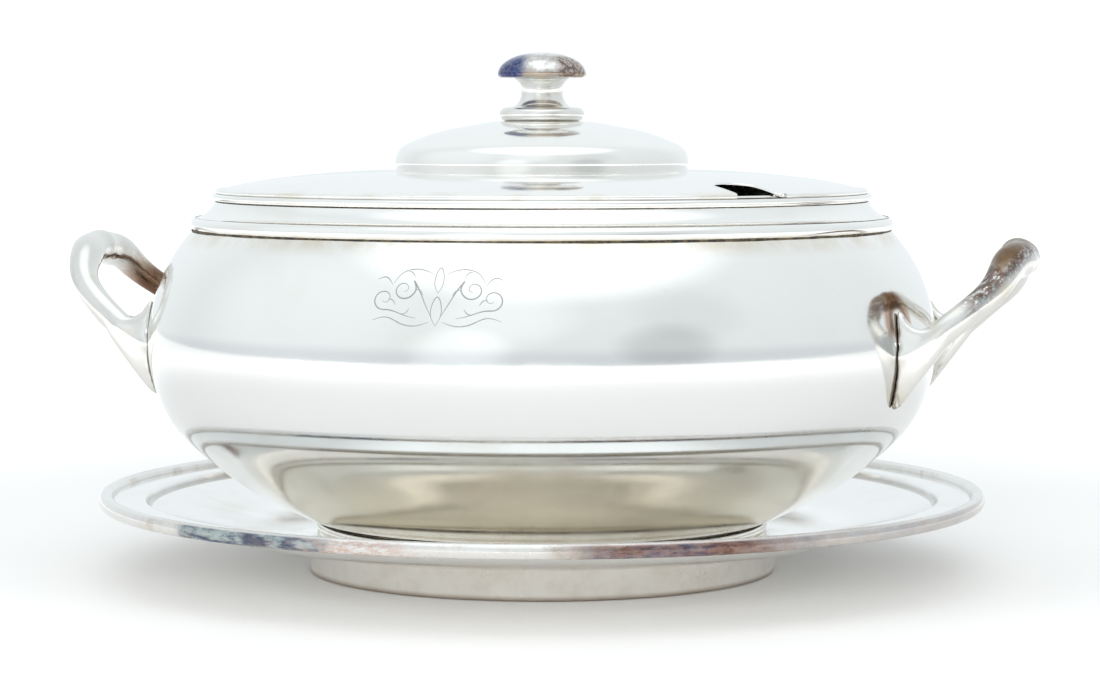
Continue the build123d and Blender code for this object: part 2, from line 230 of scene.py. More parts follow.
bowl_foot = [(77.4, 18.8), (77.4, WELL_Z), (82.4, WELL_Z)] + \
    arc((82.4, WELL_Z), (84.3, 16.5), (83.7, 18.3), 12) + [(83.2, 18.8)]
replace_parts(lathe("bowl_foot", bowl_foot, "tureen", "foot_silver"), "bowl_foot_ring")

# %% [markdown]
# ## The collar
# A half-round band covers the joint at the neck, a wide cove leads in from it, and a
# bead at the top carries the lid. It is one more turned section: each moulding is an arc
# through three points, with a small flat between two of them so that the edges stay crisp.

# %% Collar
collar = [(129.7, 127.2)] + arc((129.9, 127.5), (130.4, 129.5), (129.4, 131.4), 14) + \
    [(128.9, 131.75), (128.0, 131.8)] + arc((128, 131.8), (123.6, 134.4), (121.3, 137.6), 16) + \
    [(121.2, 137.8)] + arc((121.3, 137.9), (122.5, 139.1), (121.8, 140.5), 12) + \
    [(118.5, 140.5), (118.5, 137)] + arc((118.5, 137), (122.2, 132.7), (127.4, 127.2), 12)
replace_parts(lathe("collar", collar, "tureen", "collar_silver"), "rim_collar")

# %% [markdown]
# A dark line of old polish sits in each joint, heaviest below the half-round band. The
# line under the lid's edge is old polish and painted shade of the gap there, and the line
# under the bowl's foot is painted shade where the bowl stands in the tray. Lines like these
# could be painted on by a mask, but a joint is narrower than a mask can follow well, and
# no silver mirror is dark by itself in a white room. So each line is a thread of its own,
# whose thickness wanders, and it is rough and black.

# %% Dark seams and painted shade lines


def thread(name, radius, z, thick, body, slot, low=0.35, seed=1, steps=480):
    """A thin ring whose thickness wanders, for old polish lying in a joint and for painted shade in a gap."""
    rng = np.random.default_rng(seed)
    a = np.linspace(0, 2 * pi, steps, endpoint=False)
    wander = sum(rng.uniform(0.3, 1) * np.cos(k * a + rng.uniform(0, 2 * pi)) / sqrt(k)
                 for k in (1, 2, 3, 7, 13, 29, 57, 91))
    size = thick * (low + (1 - low) * (0.5 + 0.5 * np.tanh(wander)))
    sides, verts = 8, []
    for t, s in zip(a, size):
        for k in range(sides):
            b = 2 * pi * k / sides
            r = radius + s * cos(b)
            verts.append((r * cos(t), r * sin(t), z + s * sin(b)))
    faces = [(k * sides + i, ((k + 1) % steps) * sides + i,
              ((k + 1) % steps) * sides + (i + 1) % sides, k * sides + (i + 1) % sides)
             for k in range(steps) for i in range(sides)]
    return finished(name, mesh_from(name, verts, faces), body, slot, 80)


# The line under the lid's edge is old polish and painted shade; the line under the bowl's foot is painted shade.
# name, radius, height, half thickness, finish slot, thinnest share, seed
SEAMS = (("neck_seam", 129.5, 127.1, 0.80, "collar_silver", 0.45, 4),
         ("bead_seam", 121.25, 137.75, 0.26, "collar_silver", 0.3, 9),
         ("lid_seat_dirt_and_shade_line", 120.6, 140.45, 0.42, "collar_silver", 0.5, 12),
         ("band_seam", 128.75, 131.75, 0.17, "collar_silver", 0.2, 15),
         ("foot_seam", 84.0, 18.75, 0.45, "foot_silver", 0.4, 21))
for name, radius, height, thick, slot, low, seed in SEAMS:
    thread(name, radius, height, thick, "tureen", slot, low, seed)

# %% [markdown]
# ## The handles
# Each handle is one casting: a loop that lies in a plane leaning up and outwards, with a
# leaf-shaped foot at each end that runs up and down the bowl. The engineering solid has
# the right path and feet, but it meets itself in hard creases where the limb runs into
# the leaf, and a sand casting never does. A copy of its mesh is remeshed to an even grid
# and relaxed, so the creases fill like a fillet. Long limbs barely change, because the
# relaxing only works over a millimetre or two. The tip, where the two halves of the loop
# meet, is relaxed further in a group of its own, and then swelled again by what that lost.

# %% Handles
# Here lengths are in metres, as in the mesh that is copied.
GRID = 0.62 * MM
TIP_REACH, TIP_FADE, TIP_FROM = 0.018, 0.010, 0.158
TIP_REFILL = 0.4 * MM


def applied(obj):
    """A new mesh: the object's own with its modifiers worked in."""
    return bpy.data.meshes.new_from_object(obj.evaluated_get(bpy.context.evaluated_depsgraph_get()))


def relaxed(obj, rounds, group=""):
    """Add a smoothing pass, over the whole piece or one group of it."""
    smoothing = obj.modifiers.new("relax", "SMOOTH")
    smoothing.factor, smoothing.iterations, smoothing.vertex_group = 0.5, rounds, group


for node in ("handle_right", "handle_left"):
    casting = bpy.data.objects.new(node + "_casting", frame["nodes"][node].data.copy())
    scene.collection.objects.link(casting)
    even = casting.modifiers.new("even", "REMESH")
    even.mode, even.voxel_size, even.adaptivity = "VOXEL", GRID, 0.0
    relaxed(casting, 26)
    solid = applied(casting)
    casting.modifiers.clear()
    casting.data = solid
    tip = casting.vertex_groups.new(name="tip")
    for v in solid.vertices:
        share = min(1, max(0, (TIP_REACH - abs(v.co.y)) / TIP_FADE)) if abs(v.co.x) > TIP_FROM else 0
        if share:
            tip.add([v.index], share * share * (3 - 2 * share), "REPLACE")
    relaxed(casting, 100, "tip")
    refill = casting.modifiers.new("refill_tip", "DISPLACE")
    refill.mid_level, refill.strength, refill.vertex_group = 0.0, TIP_REFILL, "tip"
    relaxed(casting, 10)
    solid = applied(casting)
    bpy.data.objects.remove(casting)
    solid.materials.clear()
    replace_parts(finished(node + "_casting", solid, "tureen", "handle_silver", 75), node)

# %% [markdown]
# ## The lid
# The brim is a shallow cone with a slow crown, the centre a low dome. A U-shaped notch
# lets a ladle stand in the bowl. A Boolean cut would leave long faces that pinch the
# reflections, so the brim is built round the notch instead: inside one sector, rows of
# points slide from the outline of the notch to the sector's edges, all at the height
# the brim has at that radius.

# %% Sections of the brim and the dome
LID_R, WIRE_W, RIM_Z = 121.2, 2.3, 140.5
EDGE_R, SHEET = LID_R - WIRE_W, 1.2
DOME_R, CROWN_Z, STUD_HOLE = 54.3, 167.2, 3.3
brim = smooth([(EDGE_R, 142.1), (111.8, 143.85), (99.5, 145.88), (84.7, 147.49), (69.8, 148.47),
               (DOME_R, 149.1)], 60, (-1, 0.3), (-1, 0.06))
dome = smooth([(DOME_R, 149.1), (54.6, 151.45), (DOME_R, 154.0), (53.2, 156.5), (48.6, 159.45),
               (41.0, 162.45), (32.6, 164.5), (23.9, 166.05), (14.7, CROWN_Z)], 70,
              (0.05, 1), (-1, 0.02))
brim_r = [p[0] for p in brim][::-1]
brim_z = [p[1] for p in brim][::-1]


def brim_height(r):
    """Height of the brim's top at a radius."""
    return float(np.interp(r, brim_r, brim_z))


print("sections:", len(brim), "points on the brim,", len(dome), "on the dome; the brim rises", round(brim_z[0] - brim_z[-1], 2), "mm, dome", round(CROWN_Z - brim_z[0], 2), "mm")

# %% [markdown]
# The notch is a U with a slightly flared mouth. Its outline is sampled at even steps, one
# step for each point on the edge of the sector round it, so that the two can be joined by
# straight rows of faces.

# %% Outline of the ladle notch
NOTCH_AT, NOTCH_HALF, NOTCH_END, NOTCH_ROUND, FLARE = radians(-37), 9.5, 100.2, 7.6, 1.6
SPLIT_R, SECTOR, STEPS = 90.0, radians(13.5), 240
turns = np.linspace(NOTCH_AT + SECTOR, NOTCH_AT - SECTOR + 2 * pi, STEPS)
inner_arc = np.linspace(NOTCH_AT + SECTOR, NOTCH_AT - SECTOR, 30)
outer_rows = list(np.linspace(EDGE_R, SPLIT_R, 18))
def notch_outline(count):
    """The U from one corner of its mouth to the other, as (radius, angle) pairs."""
    end = [(NOTCH_END + NOTCH_ROUND - NOTCH_ROUND * sin(t), NOTCH_HALF * cos(t))
           for t in np.linspace(0, pi, 60)]
    corner = sqrt(EDGE_R ** 2 - (NOTCH_HALF + FLARE) ** 2)
    side = [(x, NOTCH_HALF) for x in np.linspace(corner, NOTCH_END + NOTCH_ROUND + 0.2, 30)]
    side[0], side[1] = (corner, NOTCH_HALF + FLARE), (corner - 0.9, NOTCH_HALF + 0.4)
    path = np.array(side + end + [(x, -y) for x, y in side[::-1]])
    t = np.concatenate([[0], np.cumsum(np.hypot(*np.diff(path, axis=0).T))])
    s = np.linspace(0, t[-1], count)
    x, y = np.interp(s, t, path[:, 0]), np.interp(s, t, path[:, 1])
    r = np.hypot(x, y)
    r[0] = r[-1] = EDGE_R
    return list(zip(r, NOTCH_AT + np.arctan2(y, x)))


sector_edge = [(r, NOTCH_AT + SECTOR) for r in outer_rows] + [(SPLIT_R, t) for t in inner_arc[1:-1]] + \
    [(r, NOTCH_AT - SECTOR) for r in outer_rows[::-1]]
notch = notch_outline(len(sector_edge))
print("notch outline", len(notch), "points in a sector of", len(outer_rows), "rows")

# %% [markdown]
# The lid is then a few patches: the dome and inner brim all the way round, the outer brim
# outside the sector, the sector itself, and walls at the rim and round the notch. Top and
# underside are the same patches a sheet's thickness apart, welded at the end.

# %% Lid
inner_top = [(r, brim_height(r)) for r in np.linspace(SPLIT_R, DOME_R, 26)] + dome[1:] + \
    [(STUD_HOLE, CROWN_Z)]
inner_low = [(STUD_HOLE, CROWN_Z - SHEET), (14.7, CROWN_Z - SHEET)] + shifted(dome, -SHEET)[::-1][1:-4] + \
    [(53.0, 148.0)] + [(r, brim_height(r) - SHEET) for r in np.linspace(55.5, SPLIT_R, 26)]
verts, faces = [], []


def polar(r, t, z):
    """A point from its radius, angle and height."""
    return (r * cos(t), r * sin(t), z)


def patch(rows):
    """Add a grid of points, given row by row, and its faces."""
    base, wide = len(verts), len(rows[0])
    verts.extend(p for row in rows for p in row)
    faces.extend((base + i * wide + j, base + i * wide + j + 1, base + (i + 1) * wide + j + 1,
                  base + (i + 1) * wide + j) for i in range(len(rows) - 1) for j in range(wide - 1))


whole_turn = list(turns) + [t + 2 * pi for t in inner_arc[::-1][1:]]
for line in (inner_top, inner_low, [(STUD_HOLE, CROWN_Z - SHEET), (STUD_HOLE, CROWN_Z)]):
    patch([[polar(r, t, z) for t in whole_turn] for r, z in line])
for drop in (0, SHEET):
    patch([[polar(r, t, brim_height(r) - drop) for t in turns] for r in outer_rows])
    patch([[polar(r0 + (r1 - r0) * s, t0 + (t1 - t0) * s, brim_height(r0 + (r1 - r0) * s) - drop)
            for (r0, t0), (r1, t1) in zip(notch, sector_edge)] for s in np.linspace(0, 1, 14)])
patch([[polar(EDGE_R, t, brim_height(EDGE_R) - d) for t in turns] for d in (0, SHEET)])
mouth = [(EDGE_R, sector_edge[0][1]), *notch, (EDGE_R, sector_edge[-1][1])]
patch([[polar(r, t, brim_height(r) - d) for r, t in mouth] for d in (0, SHEET)])
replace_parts(finished("lid", mesh_from("lid", verts, faces, 2e-6), "lid", "lid_silver", 42), "lid_shell")

# %% [markdown]
# A bead runs round the edge of the lid and stops at the notch, and a thinner one follows
# the notch itself, so that no raw edge of sheet shows. Both are one section swept along
# a path. Their ends are closed with a small cap.

# %% Edge bead and notch bead


def swept(name, path, section, body, slot, sharp=60):
    """Sweep a section of (out, up) offsets along a flat path of (x, y, z, outward angle)."""
    n = len(section)
    pts = [(x + o * cos(t), y + o * sin(t), z + u) for x, y, z, t in path for o, u in section]
    quads = [(i * n + j, i * n + (j + 1) % n, (i + 1) * n + (j + 1) % n, (i + 1) * n + j)
             for i in range(len(path) - 1) for j in range(n)]
    quads += [tuple(range(n)), tuple(range((len(path) - 1) * n, len(path) * n))]
    return finished(name, mesh_from(name, pts, quads), body, slot, sharp)


bead = [(0, 0), (1.8, 0)] + arc((1.8, 0), (2.3, 0.8), (1.4, 1.75), 9) + [(0.6, 1.8), (0, 1.7)]
NOTCH_BEAD_R, BEAD_SINK = 0.78, 0.55
gap = (NOTCH_HALF + 1.9) / EDGE_R
around = np.linspace(NOTCH_AT + gap, NOTCH_AT + 2 * pi - gap, 300)
wire = swept("lid_edge_bead", [(EDGE_R * cos(t), EDGE_R * sin(t), RIM_Z, t) for t in around],
             bead, "lid", "lid_silver")
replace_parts(wire, "lid_edge_wire")

line = notch_outline(140)
path = []
for i, (r, t) in enumerate(line):
    (ra, ta), (rb, tb) = line[max(i - 1, 0)], line[min(i + 1, len(line) - 1)]
    way = atan2(rb * sin(tb) - ra * sin(ta), rb * cos(tb) - ra * cos(ta))
    path.append((r * cos(t), r * sin(t), brim_height(r) - BEAD_SINK, way - pi / 2))
circle = [(NOTCH_BEAD_R * cos(a), NOTCH_BEAD_R * sin(a)) for a in np.linspace(0, 2 * pi, 12, endpoint=False)]
swept("notch_bead", path, circle, "lid", "lid_silver")

# %% [markdown]
# ## The finial
# A bead, a waist and a mushroom cap turned from one bar. The stud, washer and nut under
# it are shown as the engineering model has them, with a plain nickel finish.

# %% Finial
Z0 = CROWN_Z
knob = [(3, Z0), (12.9, Z0 + 0.02)] + \
    arc((12.9, Z0 + 0.02), (15.8, Z0 + 2.6), (13.2, Z0 + 5.1), 18) + [(11.8, Z0 + 5.15)] + \
    smooth([(10.9, Z0 + 5.3), (8.5, Z0 + 7.4), (7.7, Z0 + 10.8), (8.7, Z0 + 14.0), (11.6, Z0 + 16.3)],
           34, (-1, 0.35), (1, 0.3)) + arc((14.2, Z0 + 16.3), (16.0, Z0 + 16.4), (16.5, Z0 + 17.2), 12) + \
    smooth([(16.5, Z0 + 17.2), (15.8, Z0 + 19.8), (12.4, Z0 + 22.9), (6.8, Z0 + 24.9), (0, Z0 + 25.5)],
           40, (0.05, 1), (-1, 0)) + [(0, Z0 + 12), (3, Z0 + 12)]
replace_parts(lathe("finial", knob, "finial", "finial_silver", steps=160), "finial_knob")

# %% [markdown]
# ## The engraving
# The front carries a line engraving. A generic running scroll stands in its place. Each
# stroke is a fine tapering ribbon of metal that follows the wall and stands a few
# hundredths out of it, so it catches the light as a cut line does.

# %% Engraved scroll
SCROLL_Z, FINE, ENGRAVED = 109.0, 0.34, []


def stroke(points, weight=0.6, steps=40):
    """One tapering line over the wall, from points given as (across, up) in millimetres."""
    run = smooth(points, steps)
    ENGRAVED.append([(x, z, 1.45 * weight * (0.28 + 0.72 * sin(pi * min(1, max(0, k / (steps - 1)))) ** 0.8))
                     for k, (x, z) in enumerate(run)])


def spiral(cx, cz, r0, winds, start, hand=1, squash=0.85, steps=14):
    """Points that wind in towards a centre, for the end of a scroll."""
    return [(cx + hand * r0 * (1 - 0.82 * k / steps) * cos(start + 2 * pi * winds * k / steps),
             cz + squash * r0 * (1 - 0.82 * k / steps) * sin(start + 2 * pi * winds * k / steps))
            for k in range(steps + 1)]


for hand in (1, -1):
    stroke([(hand * 1.5, -6.5), (hand * 4.5, -1.5), (hand * 8.0, 4.0)] +
           spiral(hand * 12.4, 2.6, 4.6, 1.35, pi * 0.75, hand), 0.5, 70)
    stroke([(hand * 7.0, -6.8), (hand * 11.5, -5.8), (hand * 16.0, -4.4)] +
           spiral(hand * 19.2, -0.6, 4.4, 1.2, -pi * 0.6, hand), 0.44, 64)
    stroke([(hand * x, z) for x, z in ((2.2, 7.5), (6.0, 8.8), (10.5, 9.0), (14.5, 7.4), (16.5, 4.6))], 0.36)
    stroke([(hand * x, z) for x, z in ((2.4, -8.0), (7.2, -9.3), (12.8, -8.4), (17.5, -6.6), (22.5, -7.6))], 0.38)
    stroke([(hand * 17.0, 4.0), (hand * 20.0, 6.4), (hand * 23.0, 5.6)], FINE, 24)
    for x, z, up in ((5.2, 0.6, 1), (9.6, -3.6, -1), (14.8, -2.6, 1), (9.0, 6.4, 1)):
        stroke([(hand * x, z), (hand * (x + 1.5), z + up * 1.7), (hand * (x + 3.0), z + up * 1.9)], FINE, 18)
stroke([(0, -9.2), (-1.9, -4.6), (0, 0.2), (1.9, -4.6), (0, -9.2)], FINE, 40)
stroke([(0, 1.4), (-1.6, 5.2), (0, 9.6), (1.6, 5.2), (0, 1.4)], FINE, 40)
print(len(ENGRAVED), "strokes")

# %% [markdown]
# Each stroke now becomes a ribbon five points wide, with its edges sunk a tenth of a
# millimetre into the wall. The wall's radius at each height comes from the bowl's own
# outline, so that the ribbons lie on the curve and never float.

# %% Strokes laid on the wall
RAISE = 0.03
PROFILE = ((-1, -0.10), (-0.45, 0.02), (0, -0.03), (0.45, 0.02), (1, -0.10))
verts, faces = [], []
for line in ENGRAVED:
    base, n = len(verts), len(line)
    for k, (x, z, w) in enumerate(line):
        (x0, z0, _), (x1, z1, _) = line[max(k - 1, 0)], line[min(k + 1, n - 1)]
        d = hypot(x1 - x0, z1 - z0)
        nx, nz = -(z1 - z0) / d, (x1 - x0) / d
        for off, lift in PROFILE:
            px, pz = x + nx * w * 0.5 * off, SCROLL_Z + z + nz * w * 0.5 * off
            r = wall_radius(pz) + lift + RAISE
            a = px / BELLY_R
            verts.append((r * sin(a), -r * cos(a), pz))
    faces.extend((base + k * 5 + j, base + k * 5 + j + 1, base + (k + 1) * 5 + j + 1, base + (k + 1) * 5 + j)
                 for k in range(n - 1) for j in range(4))
finished("engraved_scroll", mesh_from("engraved_scroll", verts, faces, 1e-8), "tureen", "bowl_silver", 80)

# %% [markdown]
# ## Shader maths
# Node graphs written out link by link are slow to read. A small class wraps a socket, so
# that an expression such as 1 - mask * 0.3 adds its Math nodes, and one method makes any
# other node from its type, its settings and what goes into its sockets. A finish is such
# a graph with a shader in it, and knows a few patterns by name: noise, step, mix and spot.

# %% A socket that does arithmetic


class Wire:
    """One output socket of a node tree, with arithmetic."""

    def __init__(self, tree, socket):
        self.tree, self.socket = tree, socket

    def maths(self, operation, a, b=None):
        """A Math node on wires or plain numbers."""
        node = self.tree.nodes.new("ShaderNodeMath")
        node.operation = operation
        for index, value in enumerate((a, b)):
            if isinstance(value, Wire):
                self.tree.links.new(value.socket, node.inputs[index])
            elif value is not None:
                node.inputs[index].default_value = value
        return Wire(self.tree, node.outputs[0])

    def __add__(self, o): return self.maths("ADD", self, o)
    def __radd__(self, o): return self.maths("ADD", o, self)
    def __sub__(self, o): return self.maths("SUBTRACT", self, o)
    def __rsub__(self, o): return self.maths("SUBTRACT", o, self)
    def __mul__(self, o): return self.maths("MULTIPLY", self, o)
    def __rmul__(self, o): return self.maths("MULTIPLY", o, self)
    def __truediv__(self, o): return self.maths("DIVIDE", self, o)
    def __rtruediv__(self, o): return self.maths("DIVIDE", o, self)
    def __pow__(self, o): return self.maths("POWER", self, o)
    def __abs__(self): return self.maths("ABSOLUTE", self)


class Graph:
    """A node tree under construction."""

    def __init__(self, tree):
        self.tree = tree

    def node(self, kind, settings, out=0, **sockets):
        """Any node: its settings first, then values or wires for its sockets."""
        node = self.tree.nodes.new(kind)
        for key, value in settings.items():
            setattr(node, key, value)
        for key, value in sockets.items():
            socket = node.inputs[int(key[1:])] if key[1:].isdigit() else node.inputs[key]
            if isinstance(value, Wire):
                self.tree.links.new(value.socket, socket)
            else:
                socket.default_value = value
        return Wire(self.tree, node.outputs[out])

    def step(self, wire, low, high, a=0.0, b=1.0):
        """A soft step of the wire from a at low to b at high."""
        return self.node("ShaderNodeMapRange", {"interpolation_type": "SMOOTHSTEP"}, out="Result",
                         Value=wire, _1=low, _2=high, _3=a, _4=b)


print("Wire has", sum(callable(v) for v in vars(Wire).values()), "methods")

# %% [markdown]
# A finish knows where a point lies on the piece: its place in the frame and its distance
# from the axis. Every pattern is made from these, never from where the viewer stands, so
# a stain stays put when the piece moves.

# %% A finish with its own stains


class Finish(Graph):
    """A material under construction, with its Principled shader ready."""

    def __init__(self, name, **constants):
        self.material = bpy.data.materials.new(name)
        self.material.use_nodes = True
        super().__init__(self.material.node_tree)
        self.shader = self.tree.nodes["Principled BSDF"]
        for key, value in constants.items():
            self.shader.inputs[key.replace("_", " ")].default_value = value
        self.place = self.node("ShaderNodeTexCoord", {}, out="Object")
        self.x, self.y, self.z = (self.node("ShaderNodeSeparateXYZ", {}, out=axis, _0=self.place)
                                  for axis in "XYZ")
        self.radius = (self.x * self.x + self.y * self.y) ** 0.5

    def feed(self, name, wire):
        """Link a wire to one input of the shader."""
        self.tree.links.new(wire.socket, self.shader.inputs[name])

    def noise(self, scale, detail=3.0, rough=0.55, where=None):
        """Cloudy noise, with about scale patches to the metre."""
        return self.node("ShaderNodeTexNoise", {"noise_dimensions": "3D"}, out="Fac",
                         Vector=where or self.place, Scale=scale, Detail=detail, Roughness=rough)

    def mix(self, amount, a, b):
        """Colour a where amount is 0, colour b where it is 1."""
        a, b = (c if isinstance(c, Wire) else (*c, 1) for c in (a, b))
        return self.node("ShaderNodeMix", {"data_type": "RGBA"}, out=2, _0=amount, _6=a, _7=b)

    def spot(self, centre, radius, ragged=0.35, scale=120, soft=0.45):
        """1 near a place on the piece, falling to 0 at the radius, with a ragged edge."""
        x, y, z = (v * MM for v in centre)
        away = ((self.x - x) ** 2 + (self.y - y) ** 2 + (self.z - z) ** 2) ** 0.5
        far = away / (radius * MM) + (self.noise(scale, 5, 0.65) - 0.5) * (2 * ragged)
        return self.step(far, 1.0, 1.0 - soft)


# %% [markdown]
# ## Silver
# Silver reflects nearly everything and slightly less blue than red. What makes it look
# used is small: hairlines that run round the piece from polishing, a faint milky bloom
# that raises the roughness, and films of tarnish that shade from straw to brown to blue
# where a cloth does not reach. Every silver here is that one recipe with its own stains.

# %% The silver recipe
SILVER = (0.90, 0.89, 0.865)
STRAW, BROWN, UMBER = (0.62, 0.52, 0.36), (0.30, 0.19, 0.12), (0.09, 0.055, 0.035)
PLUM, TEAL, PINK = (0.20, 0.13, 0.14), (0.18, 0.25, 0.24), (0.62, 0.42, 0.36)


def silver(name, bloom=0.12, wave=0.35, base=SILVER, gloss=0.07):
    """Polished plate: returns the finish and its first colour, for stains to be mixed on."""
    f = Finish(name, Metallic=1.0)
    turn = f.node("ShaderNodeMath", {"operation": "ARCTAN2"}, _0=f.x, _1=f.y)
    wound = f.node("ShaderNodeCombineXYZ", {}, X=turn * 0.02, Y=f.radius, Z=f.z)
    hair = f.noise(2600, 2, 0.6, wound)
    cloud = f.noise(22, 4, 0.6)
    fleck = f.step(f.noise(420, 3, 0.7), 0.68, 0.76)
    haze = f.step(cloud, 0.46, 0.72)
    colour = f.mix(haze * bloom, base, (base[0] * 0.86, base[1] * 0.84, base[2] * 0.78))
    colour = f.mix(fleck * 0.22, colour, STRAW)
    f.rough = gloss + haze * (bloom * 0.5) + hair * 0.035 + fleck * 0.05
    swell = f.noise(26, 1.5, 0.4)
    f.dents = swell * wave + hair * 0.02
    return f, colour


def close(f, colour, rough=None, relief=0.0009):
    """Feed the finished colour, roughness and relief to the shader."""
    f.feed("Base Color", colour)
    f.feed("Roughness", rough if rough is not None else f.rough)
    bump = f.node("ShaderNodeBump", {}, out="Normal", Strength=0.12, Distance=relief, Height=f.dents)
    f.feed("Normal", bump)
    print(f.material.name, len(f.tree.nodes), "nodes")
    return f.material


# %% [markdown]
# The bowl is cleanest where a cloth passes over it. Its middle band is painted a duller
# grey, painted shade that tones down the bright floor it reflects, and the part near the
# base is painted warmer and darker, painted shade for the tray and its shadow reflected
# there. Straw-coloured film creeps down from the collar, and flux has burnt a brown ring
# into the plate round the front spur of the right handle.

# %% Bowl silver
PAINTED_SHADE_GREY, WARM_PAINTED_SHADE, DEEPER_WARM_PAINTED_SHADE = (0.755, 0.76, 0.755), (0.86, 0.825, 0.755), (0.74, 0.695, 0.61)
RUST, SCORCHED = (0.46, 0.27, 0.16), (0.14, 0.08, 0.05)
SPUR = (0.1385, -0.0405, 0.0965)
f, colour = silver("silver_bowl", 0.16, 0.5)
# Painted shade: the middle band is greyed to tone down the bright floor it reflects.
middle_band_shade = f.step(f.z, 0.0935, 0.0890) * f.step(f.z, 0.046, 0.060)
colour = f.mix(middle_band_shade * 0.9, colour, PAINTED_SHADE_GREY)
# Painted shade: the wall turns warmer and darker towards the base, for the tray and its shadow that it reflects.
colour = f.mix(f.step(f.z, 0.058, 0.036) * 0.6, colour, WARM_PAINTED_SHADE)
colour = f.mix(f.step(f.z, 0.034, 0.026) * 0.6, colour, DEEPER_WARM_PAINTED_SHADE)
under_band = f.step(f.z, 0.1205, 0.1268) * f.step(f.noise(55, 4, 0.65), 0.30, 0.66)
colour = f.mix(under_band * 0.55, colour, STRAW)
away = ((f.x - SPUR[0]) ** 2 + (f.y - SPUR[1]) ** 2 + (f.z - SPUR[2]) ** 2) ** 0.5
away = away + (f.noise(140, 3, 0.6) - 0.5) * 0.002
halo = f.step(away, 0.0035, 0.0060) * f.step(away, 0.0125, 0.0090) * f.step(f.z, 0.089, 0.096)
colour = f.mix(halo * 0.85, colour, RUST)
inner_halo = f.step(away, 0.0085, 0.0065) * halo
colour = f.mix(inner_halo * 0.7, colour, SCORCHED)
bowl_silver = close(f, colour)

# %% [markdown]
# Collar and lid are wiped whenever the tureen is used. They keep only a straw film, in the
# angle under the collar and along the rim of the lid.

# %% Collar and lid silvers
f, colour = silver("silver_collar", 0.2, 0.3)
seam = f.step(f.z, 0.1285, 0.1272) * f.step(f.noise(70, 4, 0.6), 0.35, 0.6)
colour = f.mix(seam * 0.6, colour, STRAW)
collar_silver = close(f, colour)

f, colour = silver("silver_lid", 0.14, 0.35)
rim_film = f.step(f.radius, 0.112, 0.1205) * f.step(f.noise(60, 4, 0.6), 0.45, 0.7)
colour = f.mix(rim_film * 0.35, colour, STRAW)
lid_silver = close(f, colour)

# %% [markdown]
# The tray's well is painted brighter under and round the bowl's foot, a painted light that
# lifts the dark the bowl and tray reflect into each other. The two sharp corners are painted
# darker: painted shade at the step, and dirt beside the moulding. The feet are duller than
# the rest: they slide on tables, so their gloss is worn to a satin. Their colour is painted
# brighter than the other silver, a painted light that lifts the shadowed paper they reflect.

# %% Tray and foot silvers
TRAY_BASE, PAINTED_LIGHT_UNDER_BOWL, CORNER_SHADE_AND_DIRT = (0.875, 0.87, 0.855), (0.975, 0.97, 0.95), (0.34, 0.31, 0.27)
FOOT_BASE_PAINTED_LIGHT, FOOT_GLOSS = (0.99, 0.965, 0.925), 0.17
STEP_R, BORDER_R = 0.1463, 0.1597
f, colour = silver("silver_tray", 0.22, 0.4, TRAY_BASE)
film = f.step(f.noise(30, 5, 0.65), 0.48, 0.72)
colour = f.mix(film * 0.18, colour, STRAW)
# Painted light: the well is brightened under and round the bowl.
colour = f.mix(f.step(f.radius, 0.124, 0.108), colour, PAINTED_LIGHT_UNDER_BOWL)
# The step's corner is painted shade; the corner beside the moulding is dirt in the joint.
corner = f.step(abs(f.radius - STEP_R), 0.0012, 0.0004) + f.step(abs(f.radius - BORDER_R), 0.0007, 0.0002) * 0.8
colour = f.mix(corner * (0.5 + f.noise(90, 4, 0.6) * 0.35), colour, CORNER_SHADE_AND_DIRT)
tray_silver = close(f, colour)

# The feet's base colour is painted light: brighter than the other silver, to lift the shadowed paper they
# reflect.
f, colour = silver("silver_foot", 0.30, 0.3, FOOT_BASE_PAINTED_LIGHT, FOOT_GLOSS)
film = f.step(f.noise(75, 5, 0.7), 0.42, 0.70)
colour = f.mix(film * 0.22, colour, STRAW)
colour = f.mix(f.step(f.z, 0.0022, 0.0) * 0.7, colour, BROWN)
foot_silver = close(f, colour)

# %% [markdown]
# The tray's moulding is the dirtiest edge: hands hold it and cloths skip it. Its film
# runs brown and plum round one side, with a blue patch and some pink coppery flecks on
# the other, where the plate has worn through.

# %% Border silver: where the stains lie
BORDER_BASE, BORDER_GLOSS = (0.78, 0.765, 0.74), 0.13
OXBLOOD, VIOLET, STEEL_BLUE = (0.17, 0.09, 0.07), (0.11, 0.08, 0.11), (0.05, 0.075, 0.15)
SEA_BLUE, NIGHT, BARE_COPPER, TAN = (0.16, 0.26, 0.27), (0.05, 0.07, 0.13), (0.50, 0.32, 0.26), (0.42, 0.30, 0.22)
f, colour = silver("silver_border", 0.3, 0.2, BORDER_BASE, BORDER_GLOSS)
azimuth = f.node("ShaderNodeMath", {"operation": "ARCTAN2"}, _0=f.x, _1=f.y * -1.0)
streak = f.node("ShaderNodeCombineXYZ", {}, X=azimuth * 0.05, Y=f.radius, Z=f.z)
side = azimuth + (f.noise(60, 4, 0.6) - 0.5) * 0.2
right = f.step(side, radians(15), radians(21)) * (0.35 + f.step(side, radians(50), radians(38)) * 0.65)
right = right * f.step(side, radians(100), radians(82))
left = f.step(side, radians(-36), radians(-31)) * f.step(side, radians(-11), radians(-16))
copper = f.step(side, radians(-17), radians(-13)) * f.step(side, radians(2), radians(-5))
outer = f.step(f.z, 0.0304, 0.0296)
print("border stains measured by angle from the front,", len(f.tree.nodes), "nodes so far")

